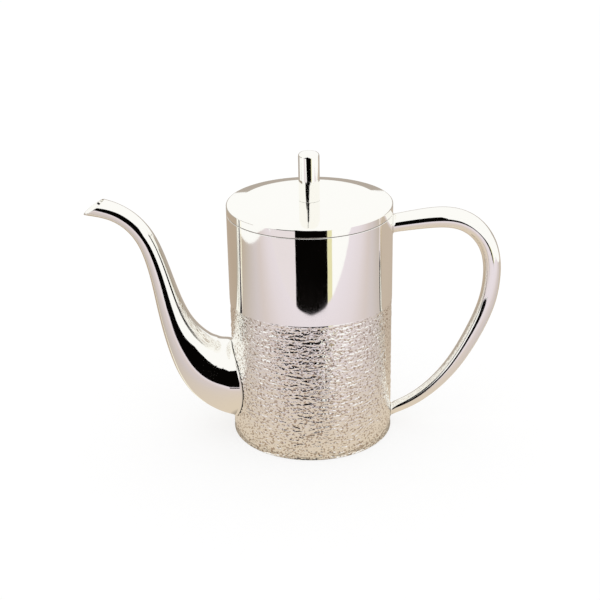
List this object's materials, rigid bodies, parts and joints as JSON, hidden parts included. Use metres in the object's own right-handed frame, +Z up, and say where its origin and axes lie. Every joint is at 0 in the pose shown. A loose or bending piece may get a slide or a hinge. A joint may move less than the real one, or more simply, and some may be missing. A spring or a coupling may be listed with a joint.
{
  "type": "coffee pot",
  "caption": "Cylindrical silver coffee pot with a swan-neck spout, a ring handle and a flat lift-off lid with an upright knob; polished above, mat-hammered below.",
  "frame": {"origin": "on the body's axis, at the flat face that the pot rests on", "axes": "+Z up along the body's axis, +X towards the handle, -X towards the spout"},
  "size_m": [0.2066, 0.082, 0.147],
  "materials": {
    "hammered_silver": "silver plate, mirror polished on the upper part and mat-hammered in short level strokes on the lower part",
    "polished_silver": "mirror-polished silver plate",
    "plain_steel": "plain turned steel"
  },
  "bodies": {
    "pot": {"body_shell": "hammered_silver", "base_plate": "polished_silver", "neck_ring": "polished_silver", "spout": "polished_silver", "handle": "polished_silver"},
    "lid": {"lid_cap": "polished_silver", "lid_bezel": "polished_silver", "knob": "polished_silver", "knob_washer": "plain_steel", "knob_screw": "plain_steel"}
  },
  "joints": [
    {"name": "lid_lift", "type": "slide", "parent": "pot", "child": "lid", "axis": [0, 0, 1], "range_m": [0, 0.1]}
  ]
}
